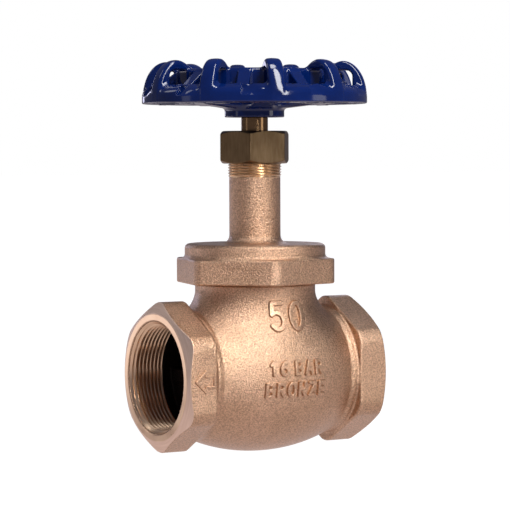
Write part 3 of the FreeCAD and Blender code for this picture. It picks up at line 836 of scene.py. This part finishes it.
def cast_bronze(name, grain_depth):
    """Bronze as cast all over: fine grain with pits, blotchy tone."""
    material, tree, shader = new_material(name)
    colour, rough, grain = cast_skin(tree)
    pits = noise(tree, 2300.0, 2.0, 0.6)
    normal = bump(tree, grain, grain_depth, 1.0)
    normal = bump(tree, pits, 0.00006, 0.8, normal)
    finish_cast(tree, shader, colour, rough, normal)
    shader.inputs["Coat Weight"].default_value = COAT
    return material


def past_port_cone(tree, from_stem, across, upright):
    """1 on the faces and cones that are turned at the port ends, 0 on the cast skin."""
    squares = maths(tree, "ADD", maths(tree, "POWER", across, 2.0), maths(tree, "POWER", upright, 2.0))
    past_face = maths(tree, "SUBTRACT", maths(tree, "SQRT", squares), PORT_FACE_R * MM)
    drop = maths(tree, "MULTIPLY", past_face, PORT_CHAMFER_SLOPE)
    reach = maths(tree, "ADD", maths(tree, "ADD", from_stem, drop), TURNED_DEPTH * MM)
    return maths(tree, "GREATER_THAN", reach, STEM_X * MM)


def painted_shade_inside(tree, coordinates, from_stem):
    """1 in the chambers and the bores, which are painted near black as shade, 0 on the outside."""
    squashed = tree.nodes.new("ShaderNodeMapping")
    squashed.inputs["Location"].default_value = (-STEM_X / GLOBE_HALF_LENGTH, 0, 0)
    squashed.inputs["Scale"].default_value = (1 / (GLOBE_HALF_LENGTH * MM), 1 / (GLOBE_R * MM),
                                              1 / (GLOBE_R * MM))
    tree.links.new(coordinates, squashed.inputs["Vector"])
    reach = tree.nodes.new("ShaderNodeVectorMath")
    reach.operation = "LENGTH"
    tree.links.new(squashed.outputs["Vector"], reach.inputs[0])
    in_globe = maths(tree, "LESS_THAN", reach.outputs["Value"], PAINTED_SHADE_SHARE)
    in_middle = maths(tree, "LESS_THAN", from_stem, (STEM_X - PAINTED_SHADE_START) * MM)
    return maths(tree, "MULTIPLY", in_globe, in_middle)


def cast_body():
    """The body's bronze: cast skin, turned cones at the port ends, and painted shade in the chambers,
    near black and dull.
    """
    material, tree, shader = new_material("cast_bronze_body")
    colour, rough, grain = cast_skin(tree)
    coordinates = tree.nodes.new("ShaderNodeTexCoord").outputs["Object"]
    parts = tree.nodes.new("ShaderNodeSeparateXYZ")
    tree.links.new(coordinates, parts.inputs[0])
    along, across, upright = parts.outputs
    from_stem = maths(tree, "ABSOLUTE", maths(tree, "SUBTRACT", along, STEM_X * MM))
    machined = past_port_cone(tree, from_stem, across, upright)
    painted_shade = painted_shade_inside(tree, coordinates, from_stem)
    lines = noise(tree, 1.0, 2.0, 0.5, (3000.0, 60.0, 60.0))
    turned_colour = ramp(tree, lines, [(0.3, (0.84, 0.62, 0.49)), (0.7, (0.94, 0.72, 0.59))])
    colour = mixed(tree, machined, colour, turned_colour)
    # painted shade: near black in the chambers and bores stands for the shade that falls inside them, and
    # they are also made dull
    colour = mixed(tree, painted_shade, colour, (0.035, 0.022, 0.018))
    rough = mixed(tree, machined, rough, grey(0.48))
    rough = mixed(tree, painted_shade, rough, grey(0.8))
    smoothed = maths(tree, "MULTIPLY", machined, 0.85)
    grain_share = maths(tree, "SUBTRACT", 1.0, smoothed)
    relief = maths(tree, "MULTIPLY", grain, grain_share)
    finish_cast(tree, shader, colour, rough, bump(tree, relief, GRAIN_DEPTH, 1.0))
    cast_share = maths(tree, "SUBTRACT", 1.0, machined)
    tree.links.new(maths(tree, "MULTIPLY", cast_share, COAT), shader.inputs["Coat Weight"])
    return material


def machined_metal(name, dark, light, rough_low, rough_high, stretch):
    """Turned or milled metal with fine tool lines; stretch sets which way the lines run."""
    material, tree, shader = new_material(name)
    lines = noise(tree, 1.0, 3.0, 0.6, stretch)
    blotch = noise(tree, 90.0, 3.0)
    share = maths(tree, "MULTIPLY", maths(tree, "ADD", lines, blotch), 0.5)
    surface(tree, shader, ramp(tree, share, [(0.35, dark), (0.65, light)]),
            between(tree, share, rough_low, rough_high), bump(tree, lines, 0.00002, 0.5))
    shader.inputs["Metallic"].default_value = 1.0
    return material


def blue_enamel():
    """Glossy stoved enamel over a casting, with a faint ripple under the gloss."""
    material, tree, shader = new_material("blue_enamel_gloss")
    ripple = noise(tree, 160.0, 2.0, 0.5)
    tone = noise(tree, 60.0, 3.0)
    colour = ramp(tree, tone, [(0.3, (0.0008, 0.0085, 0.070)), (0.7, (0.0012, 0.0125, 0.098))])
    surface(tree, shader, colour, between(tree, tone, 0.08, 0.12), bump(tree, ripple, 0.00004, 0.3))
    return material


def soft_solid(name, dark, light, scale, rough, depth):
    """Matt non-metal: fibre sheet or PTFE."""
    material, tree, shader = new_material(name)
    grain = noise(tree, scale, 4.0)
    surface(tree, shader, ramp(tree, grain, [(0.3, dark), (0.7, light)]),
            between(tree, grain, rough - 0.06, rough + 0.06), bump(tree, grain, depth, 0.6))
    return material


def braid():
    """Plaited packing yarn: two crossing sets of waves."""
    material, tree, shader = new_material("braided_packing_yarn")
    coordinates = tree.nodes.new("ShaderNodeTexCoord").outputs["Object"]
    heights = []
    for tilt in (0.8, -0.8):
        mapping = tree.nodes.new("ShaderNodeMapping")
        mapping.inputs["Rotation"].default_value = (tilt, tilt, 0.0)
        wave = tree.nodes.new("ShaderNodeTexWave")
        wave.inputs["Scale"].default_value = 220.0
        wave.inputs["Distortion"].default_value = 0.6
        tree.links.new(coordinates, mapping.inputs["Vector"])
        tree.links.new(mapping.outputs["Vector"], wave.inputs["Vector"])
        heights.append(wave.outputs["Fac"])
    weave = maths(tree, "MAXIMUM", *heights)
    colour = ramp(tree, weave, [(0.2, grey(0.02)), (0.9, grey(0.11))])
    surface(tree, shader, colour, between(tree, weave, 0.55, 0.7), bump(tree, weave, 0.0002, 0.8))
    return material


MATERIALS = {
    "body": cast_body(),
    "bonnet": cast_bronze("cast_bronze_bonnet", GRAIN_DEPTH),
    "marks": cast_bronze("cast_bronze_marks", MARKS_GRAIN_DEPTH),
    "port": machined_metal("turned_bronze_port", (0.74, 0.50, 0.33), (0.92, 0.67, 0.46), 0.26, 0.36,
                           (2500.0, 80.0, 80.0)),
    "bronze": machined_metal("turned_bronze", (0.60, 0.42, 0.29), (0.74, 0.54, 0.38), 0.28, 0.38,
                             (80.0, 80.0, 2500.0)),
    "brass": machined_metal("milled_brass", (0.14, 0.090, 0.046), (0.21, 0.14, 0.076), 0.30, 0.42,
                            (900.0, 900.0, 120.0)),
    "stem": machined_metal("polished_brass", (0.24, 0.14, 0.07), (0.32, 0.20, 0.10), 0.16, 0.24,
                           (60.0, 60.0, 2600.0)),
    "thread": machined_metal("threaded_bronze", (0.62, 0.43, 0.27), (0.78, 0.57, 0.38), 0.22, 0.32,
                             (60.0, 60.0, 1500.0)),
    "zinc": machined_metal("zinc_plate", (0.52, 0.52, 0.50), (0.70, 0.70, 0.68), 0.25, 0.36,
                           (700.0, 700.0, 700.0)),
    "aluminium": machined_metal("rolled_aluminium", (0.70, 0.70, 0.70), (0.84, 0.84, 0.84), 0.25, 0.35,
                                (40.0, 1800.0, 40.0)),
    "enamel": blue_enamel(),
    "braid": braid(),
    "ptfe": soft_solid("white_ptfe_sheet", (0.80, 0.80, 0.78), (0.90, 0.90, 0.88), 300.0, 0.42, 0.00003),
    "fibre": soft_solid("fibre_sheet", (0.12, 0.15, 0.13), (0.24, 0.27, 0.24), 900.0, 0.72, 0.00008),
}


def dress(piece, material):
    """Gives a piece one of the MATERIALS and no other."""
    piece.data.materials.clear()
    piece.data.materials.append(MATERIALS[material])


def place(piece, material, body, slot, *nodes):
    """Gives a new piece its material and body, and hides the CAD nodes that it stands for."""
    dress(piece, material)
    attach(piece, body)
    if nodes:
        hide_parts(*nodes)


# ======================== the pieces ========================
place(cast("body_casting", body_field, body_low, body_high, 0.75, 180_000),
      "body", "valve_body", "cast_bronze", *BODY_NODES)
place(port_thread("inlet_port_thread", 0.0, 1), "port", "valve_body", "cast_bronze")
place(port_thread("outlet_port_thread", RUN_LENGTH, -1), "port", "valve_body", "cast_bronze")
place(raised_marks(), "marks", "valve_body", "cast_bronze")
place(flow_arrow(), "marks", "valve_body", "cast_bronze")

bonnet_top = np.array([bonnet_high[0], bonnet_high[1], BONNET_THREAD_Z + LAP])
place(cast("bonnet_casting", bonnet_field, bonnet_low, bonnet_top, 0.7, 90_000),
      "bonnet", "valve_body", "cast_bronze", "bonnet")
place(outside_thread("bonnet_neck_thread", BONNET_THREAD_Z, bonnet_high[2], BONNET_THREAD_R,
                     BONNET_THREAD_DEPTH, BONNET_THREAD_PITCH, STUFFING_BOX_R),
      "thread", "valve_body", "cast_bronze")
place(cast("packing_nut_hexagon", packing_nut_field, nut_low, nut_high, 0.4, 60_000),
      "brass", "valve_body", "turned_brass", "packing_nut")


def stem_piece():
    """Stem as turned: swivel head, waist, helical screw, shank with a small end chamfer, and stud."""
    waist_r, head_r, square_r = 6.5, 10.5, 6.4
    pole_r = 0.01
    fade_height = 3.0
    low = stem_low[2]
    head_top = low + 4.9
    shank_top = wheel_low[2]
    stations = [(low, pole_r), (low, head_r - 2.0), (low + 1.0, head_r), (head_top - 0.3, head_r),
                (head_top, head_r - 0.3), (head_top, waist_r), (STEM_THREAD_BOTTOM_Z, waist_r)]
    height = STEM_THREAD_BOTTOM_Z + STEM_THREAD_PITCH / THREAD_STEPS
    while height < STEM_THREAD_TOP_Z:
        fade = min(1.0, (height - STEM_THREAD_BOTTOM_Z) / fade_height,
                   (STEM_THREAD_TOP_Z - height) / fade_height + 0.1)

        def radius(angle, height=height, fade=fade):
            wave = thread_wave(height / STEM_THREAD_PITCH - angle / (2 * math.pi))
            return STEM_THREAD_R - STEM_THREAD_DEPTH * (1 - np.minimum(wave, fade))

        stations.append((height, radius))
        height += STEM_THREAD_PITCH / THREAD_STEPS
    stations += [(STEM_THREAD_TOP_Z + 0.6, STEM_R), (shank_top - 0.3, STEM_R), (shank_top, STEM_R - 0.3),
                 (shank_top, square_r), (HUB_TOP_Z - 0.5, square_r), (HUB_TOP_Z, STUD_R),
                 (stem_high[2] - 1.0, STUD_R), (stem_high[2], STUD_R - 1.0), (stem_high[2], pole_r)]
    return turned("stem_turned", stations[::-1], 96, (STEM_X, 0, 0))


place(stem_piece(), "stem", "stem_wheel", "turned_brass", "stem")
place(cast("handwheel_casting", wheel_field, wheel_low, wheel_high, 0.6, 190_000),
      "enamel", "stem_wheel", "blue_enamel", "handwheel")
place(cast("wheel_nut_hexagon", wheel_nut_field, wheel_nut_low, wheel_nut_high, 0.35, 30_000),
      "zinc", "stem_wheel", "zinc_plated_steel", "handwheel_nut")


def name_plate_piece():
    """Blank round plate with a rolled rim."""
    low, high = plate_low[2], plate_high[2]
    outer = (plate_high[0] - plate_low[0]) / 2
    hole = 5.3
    stations = [(low, hole), (low, outer - 0.2), (low + 0.3, outer), (high - 0.25, outer),
                (high, outer - 0.35), (high, outer - 1.3), (high - 0.35, outer - 1.9),
                (high - 0.35, hole + 3.9), (high, hole + 3.3), (high, hole)]
    return turned("name_plate_disc", stations[::-1], 96, (STEM_X, 0, 0))


place(name_plate_piece(), "aluminium", "stem_wheel", "bare_aluminium", "name_plate")

KEPT_NODES = {
    "seat_ring": "bronze", "disc_holder": "bronze", "insert_retainer": "bronze",
    "disc_retaining_nut": "bronze", "packing_base_washer": "brass", "gland_follower": "brass",
    "insert_nut": "brass", "bonnet_gasket": "fibre", "seat_insert": "ptfe", "spring_washer": "zinc",
}
PACKING_RING_COUNT = 5
for number in range(1, PACKING_RING_COUNT + 1):
    KEPT_NODES[f"packing_ring_{number}"] = "braid"
for node, material in KEPT_NODES.items():
    dress(frame["nodes"][node], material)

# ================= floor, light and camera ==================
FLOOR_SIZE = 30.0  # from here on, lengths are metres
FLOOR_GAP = 0.0002
VIEW_ANGLE = math.radians(31.28)  # between the pipe's axis and the picture plane
VIEW_DISTANCE = 1.3345
CAMERA_HEIGHT = 0.1205
CAMERA_ROLL = math.radians(-0.2)
AIM_HEIGHT = 0.0645
AIM = Vector((STEM_X * MM, 0, AIM_HEIGHT))  # what the camera and the lights point at
SENSOR_WIDTH = 36.0  # this and the lens are in millimetres
LENS = 171.6353


def pale_floor():
    """Even pale floor that glows by itself, so that it adds no light, shade or reflection."""
    below = Vector((STEM_X * MM, 0, cad_low[2] - FLOOR_GAP))
    bpy.ops.mesh.primitive_plane_add(size=FLOOR_SIZE, location=below)
    floor = bpy.context.object
    floor.name = "floor"
    material, _, shader = new_material("pale_floor")
    shader.inputs["Base Color"].default_value = (0.05, 0.05, 0.05, 1)
    shader.inputs["Roughness"].default_value = 0.9
    shader.inputs["Emission Color"].default_value = (1, 1, 1, 1)
    shader.inputs["Emission Strength"].default_value = 1.0
    floor.visible_glossy = False
    floor.visible_diffuse = False
    floor.visible_shadow = False
    floor.data.materials.append(material)


def towards_viewer(degrees_right, elevation_deg, distance):
    """A point round the stem axis, measured from the camera's side towards its right."""
    turn = VIEW_ANGLE - math.radians(degrees_right)
    level = distance * math.cos(math.radians(elevation_deg))
    rise = distance * math.sin(math.radians(elevation_deg))
    return Vector((STEM_X * MM + level * math.sin(turn), level * math.cos(turn), AIM_HEIGHT + rise))


def area_light(name, position, size, power, colour):
    """Oval softbox at (degrees right, elevation, distance), turned to face the valve."""
    light = bpy.data.lights.new(name, "AREA")
    light.shape = "ELLIPSE"
    light.size, light.size_y = size
    light.energy = power
    light.color = colour
    lamp = bpy.data.objects.new(name, light)
    lamp.location = towards_viewer(*position)
    lamp.rotation_euler = (AIM - lamp.location).to_track_quat("-Z", "Y").to_euler()
    bpy.context.scene.collection.objects.link(lamp)


WHITE = (1, 1, 1)
LIGHTS = (
    # name, (degrees right, elevation, distance), (width, height), watts, colour
    ("key_strip", (29, 37, 1.6), (0.42, 1.8), 30, WHITE),
    ("left_card", (-118, -6, 0.45), (0.40, 0.14), 0.15, (0.97, 0.93, 1.0)),
    ("left_high_softbox", (-108, 36, 1.6), (0.4, 0.5), 1.1, WHITE),
    ("left_strip", (-72, 8, 1.6), (0.3, 0.6), 0.3, WHITE),
    ("back_left_softbox", (-156, 9, 1.6), (0.3, 0.4), 0.8, (0.75, 0.75, 1.0)),
    ("right_softbox", (68, 2, 1.6), (0.45, 0.8), 1.8, (1.0, 0.98, 0.95)),
    ("top_softbox", (20, 76, 1.6), (0.5, 0.5), 7.5, WHITE),
    ("back_softbox", (170, 15, 1.6), (0.5, 0.6), 1.0, (0.85, 0.85, 1.0)),
)

# the surroundings' light, from straight below (0) over the horizon (0.5) to straight above (1)
STUDIO_TONES = [(0.0, (0.62, 0.54, 0.54)), (0.36, (0.68, 0.60, 0.61)), (0.48, (0.16, 0.15, 0.17)),
                (0.52, (0.12, 0.115, 0.135)), (1.0, (0.12, 0.12, 0.15))]


def studio_world():
    """Dim studio with a pale floor for the valve to mirror, white where the camera sees it."""
    world = bpy.data.worlds.new("studio")
    bpy.context.scene.world = world
    world.use_nodes = True
    tree = world.node_tree
    direction = tree.nodes.new("ShaderNodeTexCoord")
    upward = tree.nodes.new("ShaderNodeVectorMath")
    upward.operation = "DOT_PRODUCT"
    upward.inputs[1].default_value = (0, 0, 1)
    tree.links.new(direction.outputs["Generated"], upward.inputs[0])
    share = maths(tree, "MULTIPLY_ADD", upward.outputs["Value"], 0.5, 0.5)
    mirrored = tree.nodes["Background"]
    tree.links.new(ramp(tree, share, STUDIO_TONES), mirrored.inputs["Color"])
    seen = tree.nodes.new("ShaderNodeBackground")
    seen.inputs["Color"].default_value = (1, 1, 1, 1)
    rays = tree.nodes.new("ShaderNodeLightPath")
    chooser = tree.nodes.new("ShaderNodeMixShader")
    tree.links.new(rays.outputs["Is Camera Ray"], chooser.inputs["Fac"])
    tree.links.new(mirrored.outputs[0], chooser.inputs[1])
    tree.links.new(seen.outputs[0], chooser.inputs[2])
    tree.links.new(chooser.outputs[0], tree.nodes["World Output"].inputs["Surface"])


def photo_camera():
    """Camera at the photograph's viewing angle, aimed a little above the pipe's axis."""
    data = bpy.data.cameras.new("camera")
    data.sensor_width = SENSOR_WIDTH
    data.lens = LENS
    data.clip_end = 2 * FLOOR_SIZE
    camera = bpy.data.objects.new("camera", data)
    camera.location = (STEM_X * MM + VIEW_DISTANCE * math.sin(VIEW_ANGLE),
                       VIEW_DISTANCE * math.cos(VIEW_ANGLE), CAMERA_HEIGHT)
    facing = (AIM - camera.location).to_track_quat("-Z", "Y").to_matrix().to_4x4()
    camera.rotation_euler = (facing @ Matrix.Rotation(CAMERA_ROLL, 4, "Z")).to_euler()
    bpy.context.scene.collection.objects.link(camera)
    bpy.context.scene.camera = camera


pale_floor()
for light in LIGHTS:
    area_light(*light)
studio_world()
photo_camera()
bpy.context.scene.view_settings.view_transform = "Standard"
